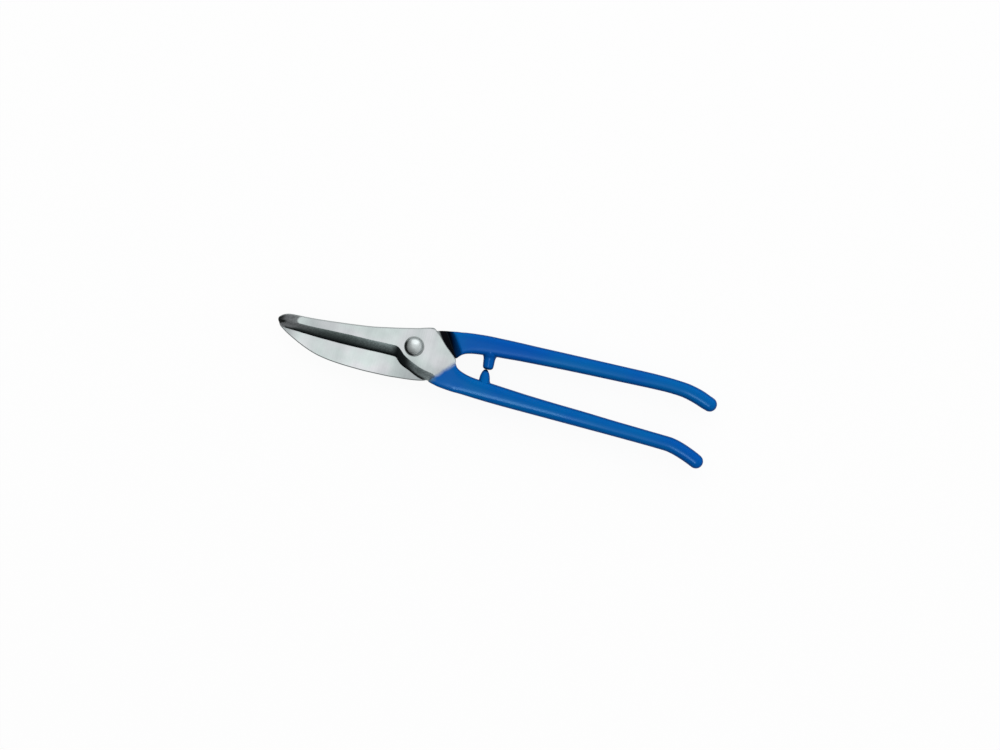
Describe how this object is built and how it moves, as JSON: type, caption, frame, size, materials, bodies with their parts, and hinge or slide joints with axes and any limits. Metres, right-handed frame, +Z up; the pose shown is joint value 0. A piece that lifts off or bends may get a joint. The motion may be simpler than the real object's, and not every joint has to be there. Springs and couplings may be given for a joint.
{
  "type": "tin snips",
  "caption": "Pelican-pattern tin snips: two crossed forged steel levers on a pivot bolt, with blue coated handles and closing stops.",
  "frame": {"origin": "on the pivot axis at the end of the pivot bolt, the flat face that the tool lies on", "axes": "+X along the tool from the blades to the handles, +Y across it towards the upper handle, +Z up along the pivot towards the bolt's head"},
  "size_m": [0.298, 0.0546, 0.0244],
  "materials": {
    "ground_steel": "ground and lightly polished faces, dark forged bevels",
    "blue_coating": "glossy dipped coating",
    "bright_bolt": "polished round head",
    "plated_steel": "zinc plated",
    "white_nylon": "moulded nylon"
  },
  "bodies": {
    "upper_blade_half": {"upper_blade_lever": "ground_steel", "lower_handle_coating": "blue_coating", "lower_stop_peg": "blue_coating", "pivot_bolt": "bright_bolt", "spring_washer": "plated_steel", "flat_washer": "plated_steel", "pivot_nut": "plated_steel", "nut_lock_ring": "white_nylon"},
    "lower_blade_half": {"lower_blade_lever": "ground_steel", "upper_handle_coating": "blue_coating", "upper_stop_peg": "blue_coating"}
  },
  "joints": [
    {"name": "blade_pivot", "type": "hinge", "parent": "upper_blade_half", "child": "lower_blade_half", "pos_m": [0, 0, 0.01375], "axis": [0, 0, 1], "range_deg": [0, 35]}
  ]
}
